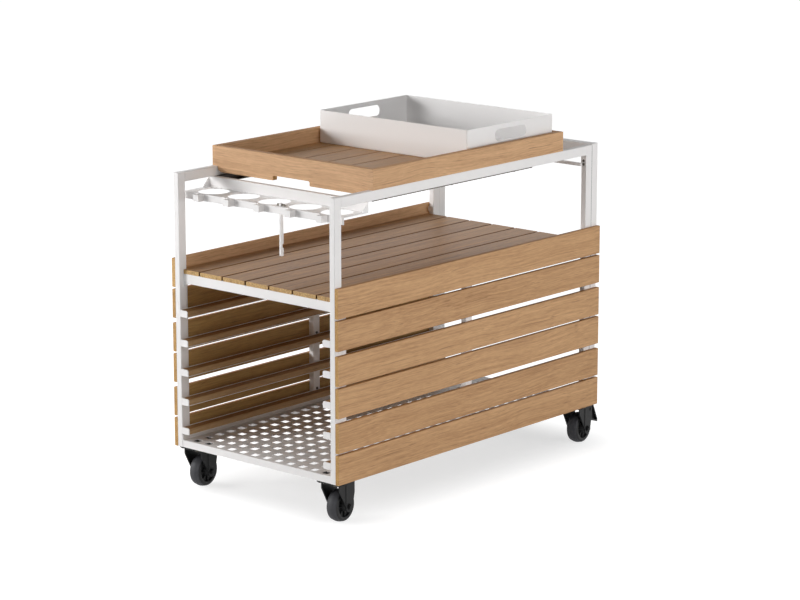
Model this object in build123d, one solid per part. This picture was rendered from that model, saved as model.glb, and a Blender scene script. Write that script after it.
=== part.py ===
from build123d import *
import math
import os

# Outdoor bar cart: a frame of rectangular tube on four castors, closed by slats on its two
# long sides, with a slatted deck, a perforated shelf, tray runners, a bottle rack under the
# top rails, and a wood tray with a sheet-metal box standing on the rails.
# Working frame, in millimetres: x from the open end, y from the front face of the tubes to
# the back, z up from the foot of the posts. The finished pieces are moved at the end so that
# z is 0 on the floor and x and y are 0 in the middle of the whole cart.

# Frame
FRAME_LENGTH = 1222.0   # over the near and the far posts
FRAME_DEPTH = 655.0     # over the front and the back tubes
FRAME_HEIGHT = 855.0    # foot to top of the posts
TUBE_W = 30.0           # broad side of the tube
TUBE_T = 20.0           # narrow side of the tube
TUBE_WALL = 1.5
TUBE_R = 2.0            # outer corner of the tube
PORTAL_RISE = 3.0       # the far portal stands this much above the top rails
DECK_RAIL_TOP = 543.0
GUSSET = 12.0           # rounded gusset under the near deck crossbar
STRIP_W = 18.0          # flat strip beside each near post
STRIP_T = 4.0

# Boards of the sides and the deck
BOARD_T = 13.0
BOARD_H = 90.0
PAIR_GAP = 6.5          # narrow gap inside a pair of side boards
WIDE_GAP = 15.5         # gap between two pairs
PAIRS = 3
EASE = 1.2              # eased long edges of every board
DECK_BOARDS = 7
DECK_PITCH = 96.0
DECK_GAP = 6.0
DECK_NEAR = 17.0        # near end of the deck, from the open end
DECK_FAR_GAP = 9.0      # deck end to the far posts
FIT_GAP = 0.5           # notch round a post

# Perforated shelf
SHEET = 2.0             # thickness of every folded sheet
SHELF_TOP = 22.0
SHELF_INSET = 2.0
SHELF_FLANGE = 16.0     # upstand along the base rails
SHELF_RETURN = 8.0      # inward fold under each end lip
HOLE = 24.0
HOLE_PITCH = 48.7
HOLE_MARGIN = 8.0       # least sheet left beyond a hole

# Tray runners
RUNNERS = 5
RUNNER_LOW_TOP = 63.0
RUNNER_PITCH = 92.3
RUNNER_H = 21.0
RUNNER_D = 29.0
RUNNER_ROUND = 6.0
RUNNER_EASE = 2.0
CAP_T = 3.0

# Bottle rack
RACK_NEAR = 42.0
RACK_DEPTH = 108.0
RACK_DROP = 32.0        # plate below the underside of the top rails
RACK_SIDE_GAP = 2.0
RACK_LIP = 22.0
RACK_FLANGE = 15.0
RACK_GUSSET = 28.0
BOTTLE_D = 97.0
BOTTLE_PITCH = 125.5
BOTTLE_MARGIN = 12.0    # least plate between a hole and the end of the rack
TAB_W = 22.0
TAB_OUT = 25.0
TAB_H = 21.0

# Opener hanging through the rack
OPENER_SET_IN = 17.0    # pivot, in from the lip
OPENER_W = 12.0
OPENER_T = 6.0
OPENER_DROP = 154.0     # pivot to the lower end
OPENER_NOTCH = 5.0      # depth of the notch in its edge
OPENER_NOTCH_H = 12.0
OPENER_NOTCH_UP = 24.0  # notch above the lower end
PIN_R = 3.0
PIN_LENGTH = 30.0
PIN_FOOT = 9.0          # length of each foot under the pin
RUN_FIT = 0.05          # radial clearance of a turning fit
SLOT_LENGTH = 24.0
SLOT_WIDTH = 8.0

# Fittings of the top
GLIDE_NEAR = 168.0
GLIDE_LENGTH = 750.0
GLIDE_W = 16.0
GLIDE_T = 3.0
GLIDE_SCREWS = (65.0, 367.0, 669.0)
SCREW_R = 4.5
SCREW_HEAD = 2.5
TOWEL_BAR = 10.0        # square bar across the far end
TOWEL_DROP = 55.0       # top of the bar below the top of the rails
BAR_LAP = 6.0           # end of the bar over its clip
CLIP_H = 30.0
CLIP_SCREWS = (4.0, 16.0)
BUSH_R = 12.5
BUSH_OUT = 8.0
BUSH_BORE = 4.0
BUSH_RISE = 29.0        # centre above the deck rails

# Wood tray
TRAY_NEAR = 169.0
TRAY_FAR_GAP = 152.0    # far end to the portal
TRAY_WALL = 19.0
TRAY_H = 62.0           # wall above the rails
TONGUE_DROP = 18.0      # end wall below the top of the rails
TONGUE_GAP = 1.0
TONGUE_R = 18.0
NOTCH_W = 150.0
NOTCH_H = 15.0
NOTCH_R = 5.0
TRAY_FLOOR_RISE = 14.0  # floor above the rails
TRAY_BOARD_T = 12.0
TRAY_GAP = 4.0
BATTEN_W = 40.0
BATTEN_H = 18.0
BATTEN_SET_IN = 150.0

# Sheet-metal box in the tray
BOX_FAR_GAP = 4.0       # to the inner face of the far tray wall
BOX_LENGTH = 420.0
BOX_SIDE_GAP = 5.5      # to the inner faces of the long tray walls
BOX_H = 104.0
BOX_R = 4.0             # outer bend
HANDLE_W = 150.0
HANDLE_H = 36.0
HANDLE_R = 16.0
HANDLE_BELOW = 15.0     # rim to the top of the handle slot

# Castors
CASTOR_H = 134.0        # floor to the foot of the posts
CASTOR_INSET = 42.0     # swivel axis from the near end and from both long sides
CASTOR_FAR_INSET = 49.0
CASTOR_TURN = 6.0       # degrees that all the castors stand turned
TRAIL = 28.0
WHEEL_D = 100.0
WHEEL_W = 40.0
TYRE_T = 11.0
TYRE_ROUND = 9.0
PLATE = 80.0
PLATE_T = 4.0
PLATE_R = 8.0
PLATE_BOLTS = 60.0      # bolt spacing, both ways
BOLT_R = 4.0
BOLT_FIT = 0.2
BOLT_HEAD_R = 6.5
BOLT_HEAD = 3.0
RACE_R = 27.0
RACE_H = 4.0
RACE_GAP = 0.3
KINGPIN_R = 6.0
KINGPIN_NUT_R = 9.0
KINGPIN_NUT = 6.0
FORK_OUT = 68.0
FORK_T = 4.0
FORK_FRONT = 22.0       # crown ahead of the swivel axis
FORK_REAR = 54.0        # crown behind the swivel axis
FORK_SHOULDER = 34.0    # straight side below the crown, at the back
FORK_EYE_R = 17.0
FORK_BEND = 4.0
RIB_W = 6.0              # upright rib pressed out of each cheek
RIB_PROUD = 1.5
RIB_AHEAD = 16.0         # rib ahead of the axle
RIB_DROP = 6.0           # from the top of the crown
RIB_FOOT = 10.0          # above the axle
AXLE_R = 5.0
AXLE_HEAD_R = 9.0
AXLE_HEAD = 4.0
HUB_GAP = 1.0           # hub end to cheek
HUB_R = 13.0
RIM_T = 5.0
WEB_T = 7.0
PEDAL_W = 28.0
PEDAL_WEB = 8.0
PEDAL_SKIN = 4.0
PEDAL_PIN_BACK = 8.0    # pin ahead of the rear end of the crown
PEDAL_PIN_Z = -23.0
PEDAL_PIN_R = 3.0
PEDAL_PIN_HEAD_R = 5.0
PEDAL_PIN_HEAD = 2.0
PEDAL_LEAD = 8.0        # pedal ahead of its pin
PEDAL_RISE = 6.5        # top of the pedal above its pin
PEDAL_CLEAR = 8.0       # pedal to tyre
PEDAL_FLAT = 36.0       # flat top behind the crown
PEDAL_BEVEL = 8.0
PEDAL_TIP = 68.0        # tip behind the crown
PEDAL_TIP_Z = 10.0      # tip above the axle
PEDAL_HEEL = 14.0       # degrees above the axle where the inner curve ends

os.makedirs("parts", exist_ok=True)

MID_X = FRAME_LENGTH / 2
MID_Y = FRAME_DEPTH / 2
BACK = FRAME_DEPTH - TUBE_T                 # inner face of the back tubes
FULL_LENGTH = FRAME_LENGTH + TUBE_W         # with the far portal
RAIL_Z = FRAME_HEIGHT - TUBE_W              # underside of the top rails
DECK_RAIL_Z = DECK_RAIL_TOP - TUBE_W
FAR_POST = FRAME_LENGTH - TUBE_W
MIRROR_Y = Plane(origin=(0, MID_Y, 0), z_dir=(0, 1, 0))
AXES = (Axis.X, Axis.Y, Axis.Z)
X, Y, Z = 0, 1, 2

parts = {}


def block(x, y, z):
    """Block between the low and high limit given for each axis."""
    limits = (x, y, z)
    size = [high - low for low, high in limits]
    middle = [(high + low) / 2 for low, high in limits]
    return Pos(*middle) * Box(*size)


def tube(x, y, z, along, top_wall=0.0):
    """Rectangular tube with rounded long edges; its high end can be closed."""
    outer = block(x, y, z)
    outer = fillet(outer.edges().filter_by(AXES[along]), TUBE_R)
    bore = [(low + TUBE_WALL, high - TUBE_WALL) for low, high in (x, y, z)]
    low, high = (x, y, z)[along]
    bore[along] = (low, high - top_wall)
    return outer - block(*bore)


def board(x, y, z, along=X):
    """Board with its long edges eased."""
    shape = block(x, y, z)
    return chamfer(shape.edges().filter_by(AXES[along]), EASE)


def plate_from(points, plane, thickness):
    """Flat piece cut to a closed outline on a plane and thickened along its normal."""
    return extrude(plane * make_face(Polyline(*points, close=True)), thickness)


def both_sides(shape):
    """A front piece and its mirror image at the back."""
    return [shape, mirror(shape, about=MIRROR_Y)]


def cylinder_along(axis_dir, centre, radius, length):
    """Cylinder that starts at a point and runs along a direction."""
    return Plane(origin=centre, z_dir=axis_dir) * Cylinder(
        radius, length, align=(Align.CENTER, Align.CENTER, Align.MIN))


# Tubes of the frame
near_post = tube((0, TUBE_W), (0, TUBE_T), (0, FRAME_HEIGHT), Z, TUBE_WALL)
parts["near_posts"] = both_sides(near_post)
mid_post = tube((MID_X - TUBE_W / 2, MID_X + TUBE_W / 2), (0, TUBE_T), (TUBE_W, DECK_RAIL_Z), Z)
parts["mid_posts"] = both_sides(mid_post)
far_post = tube((FAR_POST, FRAME_LENGTH), (0, TUBE_T), (0, FRAME_HEIGHT), Z, TUBE_WALL)
parts["far_posts"] = both_sides(far_post)
between_posts = (TUBE_W, FAR_POST)
parts["top_rails"] = both_sides(tube(between_posts, (0, TUBE_T), (RAIL_Z, FRAME_HEIGHT), X))
parts["deck_rails"] = both_sides(
    tube(between_posts, (0, TUBE_T), (DECK_RAIL_Z, DECK_RAIL_TOP), X))
parts["base_rails"] = both_sides(tube(between_posts, (0, TUBE_T), (0, TUBE_W), X))
portal_top = FRAME_HEIGHT + PORTAL_RISE
portal_post = tube((FRAME_LENGTH, FULL_LENGTH), (0, TUBE_T), (0, portal_top), Z, TUBE_WALL)
parts["portal_posts"] = both_sides(portal_post)
parts["portal_beam"] = [
    tube((FRAME_LENGTH, FULL_LENGTH), (TUBE_T, BACK), (portal_top - TUBE_W, portal_top), Y)]

# Crossbars that carry the deck, and the gussets under the near one
deck_far = FAR_POST - DECK_FAR_GAP
crossbar_starts = (DECK_NEAR, MID_X - TUBE_T / 2, deck_far - TUBE_T)
parts["deck_crossbars"] = [
    tube((start, start + TUBE_T), (TUBE_T, BACK), (DECK_RAIL_Z, DECK_RAIL_TOP), Y)
    for start in crossbar_starts]
corner = Rectangle(GUSSET, GUSSET, align=(Align.MIN, Align.MAX))
corner -= Pos(GUSSET, -GUSSET) * Circle(GUSSET - SHEET)
gusset_plane = Plane(origin=(DECK_NEAR, TUBE_T, DECK_RAIL_Z), x_dir=(0, 1, 0), z_dir=(1, 0, 0))
parts["crossbar_gussets"] = both_sides(
    extrude(gusset_plane * corner, TUBE_W - DECK_NEAR))

# Flat strips behind the slats, beside the near posts
parts["end_strips"] = both_sides(
    block((TUBE_W, TUBE_W + STRIP_W), (0, STRIP_T), (TUBE_W, DECK_RAIL_Z)))

# Side boards, in pairs, counted from the bottom
pair_pitch = 2 * BOARD_H + PAIR_GAP + WIDE_GAP
for pair in range(PAIRS):
    for step in range(2):
        low = pair * pair_pitch + step * (BOARD_H + PAIR_GAP)
        slat = board((0, FULL_LENGTH), (-BOARD_T, 0), (low, low + BOARD_H))
        number = 2 * pair + step + 1
        parts[f"front_slat_{number}"] = [slat]
        parts[f"back_slat_{number}"] = [mirror(slat, about=MIRROR_Y)]

# Deck boards; the outer two run out to the side boards and are notched round the posts
deck_limits = []
for index in range(DECK_BOARDS):
    centre = MID_Y + (index - (DECK_BOARDS - 1) / 2) * DECK_PITCH
    half = (DECK_PITCH - DECK_GAP) / 2
    deck_limits.append([centre - half, centre + half])
deck_limits[0][0] = FIT_GAP
deck_limits[-1][1] = FRAME_DEPTH - FIT_GAP
post_notch = block((0, TUBE_W + FIT_GAP), (0, TUBE_T + FIT_GAP),
                   (DECK_RAIL_TOP, DECK_RAIL_TOP + BOARD_T))
notches = both_sides(post_notch)
deck = []
for index, limits in enumerate(deck_limits):
    plank = board((DECK_NEAR, deck_far), limits, (DECK_RAIL_TOP, DECK_RAIL_TOP + BOARD_T))
    if index == 0:
        plank -= notches[0]
    if index == DECK_BOARDS - 1:
        plank -= notches[1]
    deck.append(plank)
parts["deck_boards"] = deck

# Perforated shelf: one folded sheet with an upstand along both base rails and a lip with an
# inward fold at both ends
shelf_x = (SHELF_INSET, FRAME_LENGTH - SHELF_INSET)
shelf_y = (TUBE_T, BACK)
rows = 2 * int((BACK - MID_Y - HOLE / 2 - HOLE_MARGIN) / HOLE_PITCH + 0.5)
half_columns = int((MID_X - SHELF_INSET - SHELF_RETURN - HOLE / 2) / HOLE_PITCH)
sheet = Pos(MID_X, MID_Y) * Rectangle(shelf_x[1] - shelf_x[0], shelf_y[1] - shelf_y[0])
grid = GridLocations(HOLE_PITCH, HOLE_PITCH, 2 * half_columns + 1, rows)
sheet -= [Pos(MID_X, MID_Y) * place * Rectangle(HOLE, HOLE) for place in grid]
shelf = Pos(0, 0, SHELF_TOP - SHEET) * extrude(sheet, SHEET)
for low, high, inward in ((shelf_x[0], shelf_x[0] + SHEET, 1), (shelf_x[1] - SHEET, shelf_x[1], -1)):
    fold = (low, high + SHELF_RETURN) if inward > 0 else (low - SHELF_RETURN, high)
    shelf += block((low, high), shelf_y, (0, SHELF_TOP))
    shelf += block(fold, shelf_y, (0, SHEET))
for low in (TUBE_T, BACK - SHEET):
    shelf += block(shelf_x, (low, low + SHEET), (SHELF_TOP - SHEET, SHELF_TOP + SHELF_FLANGE))
parts["bottom_shelf"] = [shelf]

# Tray runners with their end caps, front and back
runner_outline = [
    (RUNNER_EASE, 0), (RUNNER_D - RUNNER_ROUND, 0), (RUNNER_D, -RUNNER_ROUND),
    (RUNNER_D, RUNNER_EASE - RUNNER_H), (RUNNER_D - RUNNER_EASE, -RUNNER_H),
    (0, -RUNNER_H), (0, -RUNNER_EASE)]
outline = Polyline(runner_outline[2:] + [runner_outline[0], runner_outline[1]])
round_corner = RadiusArc(runner_outline[1], runner_outline[2], RUNNER_ROUND)
runner_face = make_face([outline, round_corner])
front_runners = []
front_caps = []
for index in range(RUNNERS):
    top = RUNNER_LOW_TOP + index * RUNNER_PITCH
    for start, length, group in ((0, CAP_T, front_caps),
                                 (CAP_T, FRAME_LENGTH - CAP_T, front_runners)):
        plane = Plane(origin=(start, TUBE_T, top), x_dir=(0, 1, 0), z_dir=(1, 0, 0))
        group.append(extrude(plane * runner_face, length))
parts["runners_front"] = front_runners
parts["runner_caps_front"] = front_caps
parts["runners_back"] = [mirror(piece, about=MIRROR_Y) for piece in front_runners]
parts["runner_caps_back"] = [mirror(piece, about=MIRROR_Y) for piece in front_caps]

# Bottle rack: folded sheet hung under the top rails
rack_top = RAIL_Z - RACK_DROP
rack_x = (RACK_NEAR, RACK_NEAR + RACK_DEPTH)
rack_y = (RACK_SIDE_GAP, FRAME_DEPTH - RACK_SIDE_GAP)
rack_mid = RACK_NEAR + RACK_DEPTH / 2
bottle_room = rack_y[1] - rack_y[0] - BOTTLE_D - 2 * BOTTLE_MARGIN
bottle_count = 1 + int(bottle_room / BOTTLE_PITCH)
bottle_y = [MID_Y + (index - (bottle_count - 1) / 2) * BOTTLE_PITCH for index in range(bottle_count)]
opener_y = bottle_y[1] + BOTTLE_PITCH / 2
opener_x = RACK_NEAR + OPENER_SET_IN
rack = block(rack_x, rack_y, (rack_top - SHEET, rack_top))
rack += block((rack_x[0], rack_x[0] + SHEET), rack_y, (rack_top - RACK_LIP, rack_top))
rack += block((rack_x[1] - SHEET, rack_x[1]), rack_y, (rack_top - SHEET, RAIL_Z))
rack += block((rack_x[1] - SHEET, rack_x[1] + RACK_FLANGE), rack_y, (RAIL_Z - SHEET, RAIL_Z))
ear = plate_from([(rack_x[1], rack_top), (rack_x[1], RAIL_Z), (rack_x[1] - RACK_GUSSET, rack_top)],
                 Plane(origin=(0, rack_y[0] + SHEET, 0), x_dir=(1, 0, 0), z_dir=(0, -1, 0)), SHEET)
for piece in both_sides(ear):
    rack += piece
for centre in bottle_y:
    rack -= Pos(rack_mid, centre, rack_top) * Cylinder(BOTTLE_D / 2, 4 * SHEET)
    tab_y = (centre - TAB_W / 2, centre + TAB_W / 2)
    tab = block((rack_x[0] - TAB_OUT, rack_x[0]), tab_y, (rack_top - TAB_H, rack_top))
    tab -= block((rack_x[0] - TAB_OUT + SHEET, rack_x[0]), (tab_y[0] + SHEET, tab_y[1] - SHEET),
                 (rack_top - TAB_H, rack_top - SHEET))
    rack += tab
rack -= block((opener_x - SLOT_LENGTH / 2, opener_x + SLOT_LENGTH / 2),
              (opener_y - SLOT_WIDTH / 2, opener_y + SLOT_WIDTH / 2),
              (rack_top - SHEET, rack_top))
parts["bottle_rack"] = [rack]

# Opener, and the pin it hangs on, which stands on two feet across the slot
pin_z = rack_top + PIN_R
pin = cylinder_along((0, 1, 0), (opener_x, opener_y - PIN_LENGTH / 2, pin_z), PIN_R, PIN_LENGTH)
for low in (opener_y - PIN_LENGTH / 2, opener_y + PIN_LENGTH / 2 - PIN_FOOT):
    pin += block((opener_x - PIN_R, opener_x + PIN_R), (low, low + PIN_FOOT), (rack_top, pin_z))
parts["opener_pin"] = [pin]
opener_low = pin_z - OPENER_DROP
opener = block((opener_x - OPENER_W / 2, opener_x + OPENER_W / 2),
               (opener_y - OPENER_T / 2, opener_y + OPENER_T / 2), (opener_low, pin_z))
opener = fillet(opener.edges().filter_by(Axis.Y).group_by(Axis.Z)[0], OPENER_T / 2)
eye_start = (opener_x, opener_y - OPENER_T / 2, pin_z)
opener += cylinder_along((0, 1, 0), eye_start, OPENER_W / 2, OPENER_T)
opener -= cylinder_along((0, 1, 0), eye_start, PIN_R + RUN_FIT, OPENER_T)
notch_x = opener_x + OPENER_W / 2
notch_low = opener_low + OPENER_NOTCH_UP
opener -= block((notch_x - OPENER_NOTCH, notch_x), (opener_y - OPENER_T, opener_y + OPENER_T),
                (notch_low, notch_low + OPENER_NOTCH_H))
parts["opener"] = [opener]

# Glide bars under the top rails
glide_y = ((TUBE_T - GLIDE_W) / 2, (TUBE_T + GLIDE_W) / 2)
parts["glide_bars"] = both_sides(
    block((GLIDE_NEAR, GLIDE_NEAR + GLIDE_LENGTH), glide_y, (RAIL_Z - GLIDE_T, RAIL_Z)))

# Square bar across the far end, its clips and the round bushes below them
towel_z = (FRAME_HEIGHT - TOWEL_DROP - TOWEL_BAR, FRAME_HEIGHT - TOWEL_DROP)
clip_z = (towel_z[0], towel_z[0] + CLIP_H)
parts["towel_bar"] = [chamfer(
    block((FAR_POST - SHEET - TOWEL_BAR, FAR_POST - SHEET), (TUBE_T - BAR_LAP, BACK + BAR_LAP),
          towel_z).edges().filter_by(Axis.Y), EASE)]
parts["towel_bar_clips"] = both_sides(block((FAR_POST - SHEET, FAR_POST), (0, TUBE_T), clip_z))
bush_y = BUSH_R + FIT_GAP
bush_z = DECK_RAIL_TOP + BUSH_RISE
bush = cylinder_along((-1, 0, 0), (FAR_POST, bush_y, bush_z), BUSH_R, BUSH_OUT)
bush = chamfer(bush.edges().filter_by(GeomType.CIRCLE).group_by(Axis.X)[0], EASE)
bush -= cylinder_along((-1, 0, 0), (FAR_POST - BUSH_OUT / 2, bush_y, bush_z), BUSH_BORE, BUSH_OUT / 2)
parts["portal_bushes"] = both_sides(bush)

# Screw heads of the frame
heads = []
for distance in GLIDE_SCREWS:
    heads.append(cylinder_along((0, 0, -1), (GLIDE_NEAR + distance, TUBE_T / 2, RAIL_Z - GLIDE_T),
                                SCREW_R, SCREW_HEAD))
screw_lift = SCREW_R + FIT_GAP
for index in (0, 2):
    top = RUNNER_LOW_TOP + index * RUNNER_PITCH
    heads.append(cylinder_along((0, 1, 0), (MID_X, TUBE_T, top + screw_lift), SCREW_R, SCREW_HEAD))
for distance in CLIP_SCREWS:
    heads.append(cylinder_along((-1, 0, 0), (FAR_POST - SHEET, TUBE_T - BAR_LAP - screw_lift,
                                             clip_z[0] + distance), SCREW_R, SCREW_HEAD))
screws = []
for head in heads:
    screws += both_sides(head)
parts["frame_screws"] = screws

# Wood tray: mitred walls, end walls with a tongue between the rails, a slatted floor
tray_x = (TRAY_NEAR, FRAME_LENGTH - TRAY_FAR_GAP)
tray_top = FRAME_HEIGHT + TRAY_H
inner_y = (TRAY_WALL, FRAME_DEPTH - TRAY_WALL)
tray_inner_x = (tray_x[0] + TRAY_WALL, tray_x[1] - TRAY_WALL)
rail_plane = Plane(origin=(0, 0, FRAME_HEIGHT))
long_wall = plate_from([(tray_x[0], 0), (tray_x[1], 0), (tray_inner_x[1], inner_y[0]),
                        (tray_inner_x[0], inner_y[0])], rail_plane, TRAY_H)
long_wall = chamfer(long_wall.edges().filter_by(Axis.X).group_by(Axis.Z)[-1], EASE)
parts["tray_long_walls"] = both_sides(long_wall)
tongue_half = (BACK - TUBE_T) / 2 - TONGUE_GAP
tongue = Pos(0, -TONGUE_DROP / 2) * Rectangle(2 * tongue_half, TONGUE_DROP)
tongue = fillet(tongue.vertices().group_by(Axis.Y)[0], TONGUE_R - EASE)
handle = Pos(0, NOTCH_H / 2 - TONGUE_DROP) * Rectangle(NOTCH_W, NOTCH_H)
handle = fillet(handle.vertices().group_by(Axis.Y)[-1], NOTCH_R)
tongue_plane = Plane(origin=(tray_x[0], MID_Y, FRAME_HEIGHT), x_dir=(0, 1, 0), z_dir=(1, 0, 0))
near_wall = plate_from([(tray_x[0], 0), (tray_inner_x[0], inner_y[0]), (tray_inner_x[0], inner_y[1]),
                        (tray_x[0], FRAME_DEPTH)], rail_plane, TRAY_H)
near_wall = chamfer(near_wall.edges().filter_by(Axis.Y).group_by(Axis.Z)[-1], EASE)
near_wall += extrude(tongue_plane * (tongue - handle), TRAY_WALL)
tray_mid = (tray_x[0] + tray_x[1]) / 2
parts["tray_end_walls"] = [
    near_wall, mirror(near_wall, about=Plane(origin=(tray_mid, 0, 0), z_dir=(1, 0, 0)))]
floor_z = FRAME_HEIGHT + TRAY_FLOOR_RISE
floor_boards = []
for index in range(DECK_BOARDS):
    centre = MID_Y + (index - (DECK_BOARDS - 1) / 2) * DECK_PITCH
    half = (DECK_PITCH - TRAY_GAP) / 2
    low = inner_y[0] if index == 0 else centre - half
    high = inner_y[1] if index == DECK_BOARDS - 1 else centre + half
    floor_boards.append(board(tray_inner_x, (low, high), (floor_z - TRAY_BOARD_T, floor_z)))
parts["tray_floor_boards"] = floor_boards
batten_top = floor_z - TRAY_BOARD_T
parts["tray_battens"] = [
    board((centre - BATTEN_W / 2, centre + BATTEN_W / 2),
          (TUBE_T + TONGUE_GAP, BACK - TONGUE_GAP), (batten_top - BATTEN_H, batten_top), Y)
    for centre in (tray_x[0] + BATTEN_SET_IN, tray_mid, tray_x[1] - BATTEN_SET_IN)]

# Sheet-metal box standing in the tray
box_x = (tray_inner_x[1] - BOX_FAR_GAP - BOX_LENGTH, tray_inner_x[1] - BOX_FAR_GAP)
box_y = (inner_y[0] + BOX_SIDE_GAP, inner_y[1] - BOX_SIDE_GAP)
box_z = (floor_z, floor_z + BOX_H)
box = block(box_x, box_y, box_z)
box = fillet(box.edges().filter_by(Axis.Z) + box.edges().group_by(Axis.Z)[0], BOX_R)
hollow = block((box_x[0] + SHEET, box_x[1] - SHEET), (box_y[0] + SHEET, box_y[1] - SHEET),
               (box_z[0] + SHEET, box_z[1]))
hollow = fillet(hollow.edges().filter_by(Axis.Z) + hollow.edges().group_by(Axis.Z)[0],
                BOX_R - SHEET)
box -= hollow
slot = RectangleRounded(HANDLE_W, HANDLE_H, HANDLE_R)
slot_centre = ((box_x[0] + box_x[1]) / 2, box_y[0], box_z[1] - HANDLE_BELOW - HANDLE_H / 2)
slot_plane = Plane(origin=slot_centre, x_dir=(1, 0, 0), z_dir=(0, 1, 0))
box -= extrude(slot_plane * slot, box_y[1] - box_y[0])
parts["drinks_box"] = [box]

# Castors, drawn with the swivel axis on z and the wheel trailing along +x
race_low = -PLATE_T - RACE_H
crown_top = race_low - RACE_GAP
crown_low = crown_top - FORK_T
axle_z = WHEEL_D / 2 - CASTOR_H
wheel_r = WHEEL_D / 2
cheek_in = FORK_OUT / 2 - FORK_T
pedal_pin_x = FORK_REAR - PEDAL_PIN_BACK


def castor_plate():
    """Top plate with its lower race, bored for the kingpin and the four bolts."""
    shape = Pos(0, 0, -PLATE_T / 2) * Box(PLATE, PLATE, PLATE_T)
    shape = fillet(shape.edges().filter_by(Axis.Z), PLATE_R)
    shape += cylinder_along((0, 0, -1), (0, 0, -PLATE_T), RACE_R, RACE_H)
    shape -= cylinder_along((0, 0, -1), (0, 0, 0), KINGPIN_R + RUN_FIT, PLATE_T + RACE_H)
    for place in GridLocations(PLATE_BOLTS, PLATE_BOLTS, 2, 2):
        shape -= place * cylinder_along((0, 0, -1), (0, 0, 0), BOLT_R + BOLT_FIT, PLATE_T)
    return shape


def castor_bolt():
    """Low round head under the plate with its shank through it."""
    shape = cylinder_along((0, 0, -1), (0, 0, 0), BOLT_R, PLATE_T)
    return shape + cylinder_along((0, 0, -1), (0, 0, -PLATE_T), BOLT_HEAD_R, BOLT_HEAD)


def castor_fork(with_brake):
    """Fork bent from one sheet, with its kingpin and nut."""
    eye = (TRAIL, axle_z)
    rear_low = crown_top - FORK_SHOULDER
    cheek = make_face(Polyline(
        (-FORK_FRONT, crown_top), (FORK_REAR, crown_top), (FORK_REAR, rear_low),
        (TRAIL + FORK_EYE_R, axle_z), (TRAIL - FORK_EYE_R, axle_z),
        (-FORK_FRONT, crown_top - FORK_SHOULDER / 2), close=True))
    cheek += Pos(*eye) * Circle(FORK_EYE_R)
    side = Plane(origin=(0, FORK_OUT / 2, 0), x_dir=(1, 0, 0), z_dir=(0, -1, 0))
    shape = extrude(side * cheek, FORK_OUT)
    top_edges = shape.edges().filter_by(Axis.X).group_by(Axis.Z)[-1]
    shape = fillet(top_edges, FORK_BEND - RACE_GAP)
    shape -= block((-FORK_FRONT, FORK_REAR), (-cheek_in, cheek_in), (-CASTOR_H, crown_low))
    rib_x = TRAIL - RIB_AHEAD
    rib = block((rib_x - RIB_W / 2, rib_x + RIB_W / 2), (-FORK_OUT / 2 - RIB_PROUD, -cheek_in - EASE),
                (axle_z + RIB_FOOT, crown_top - RIB_DROP))
    rib = fillet(rib.faces().sort_by(Axis.Y)[0].edges(), RIB_PROUD - EASE / 2)
    shape += rib
    shape += mirror(rib, about=Plane.XZ)
    shape += cylinder_along((0, 0, -1), (0, 0, -RACE_GAP), KINGPIN_R, -crown_low)
    shape += cylinder_along((0, 0, -1), (0, 0, crown_low), KINGPIN_NUT_R, KINGPIN_NUT)
    shape -= cylinder_along((0, 1, 0), (TRAIL, -FORK_OUT / 2, axle_z), AXLE_R + RUN_FIT, FORK_OUT)
    if with_brake:
        shape -= cylinder_along((0, 1, 0), (pedal_pin_x, -FORK_OUT / 2, PEDAL_PIN_Z),
                                PEDAL_PIN_R + RUN_FIT, FORK_OUT)
    return shape


def cross_pin(centre, radius, head_radius, head):
    """Pin through both cheeks with a round head seated on each."""
    half = FORK_OUT / 2
    shape = cylinder_along((0, 1, 0), (centre[0], -half, centre[1]), radius, FORK_OUT)
    shape += cylinder_along((0, -1, 0), (centre[0], -half, centre[1]), head_radius, head)
    shape += cylinder_along((0, 1, 0), (centre[0], half, centre[1]), head_radius, head)
    return shape


def wheel_ring(points):
    """Ring turned about the axle from an outline of (radius, offset along the axle)."""
    plane = Plane(origin=(TRAIL, 0, axle_z), x_dir=(1, 0, 0), z_dir=(0, 0, 1))
    face = plane * make_face(Polyline(*points, close=True))
    return revolve(face, Axis((TRAIL, 0, axle_z), (0, 1, 0)))


def castor_hub():
    """Hub with a bored core, a web and a rim."""
    rim_out = wheel_r - TYRE_T
    rim_in = rim_out - RIM_T
    core = cheek_in - HUB_GAP
    rim = WHEEL_W / 2 - EASE
    web = WEB_T / 2
    bore = AXLE_R + RUN_FIT
    outline = [(bore, -core), (HUB_R, -core), (HUB_R + RIM_T, -web), (rim_in, -web), (rim_in, -rim),
               (rim_out, -rim), (rim_out, rim), (rim_in, rim), (rim_in, web), (HUB_R + RIM_T, web),
               (HUB_R, core), (bore, core)]
    return wheel_ring(outline)


def castor_tyre():
    """Solid tyre with rounded shoulders."""
    inner = wheel_r - TYRE_T
    half = WHEEL_W / 2
    shape = wheel_ring([(inner, -half), (wheel_r, -half), (wheel_r, half), (inner, half)])
    shoulders = shape.edges().filter_by(GeomType.CIRCLE).filter_by(
        lambda edge: edge.radius > wheel_r - EASE)
    return fillet(shoulders, TYRE_ROUND)


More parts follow.
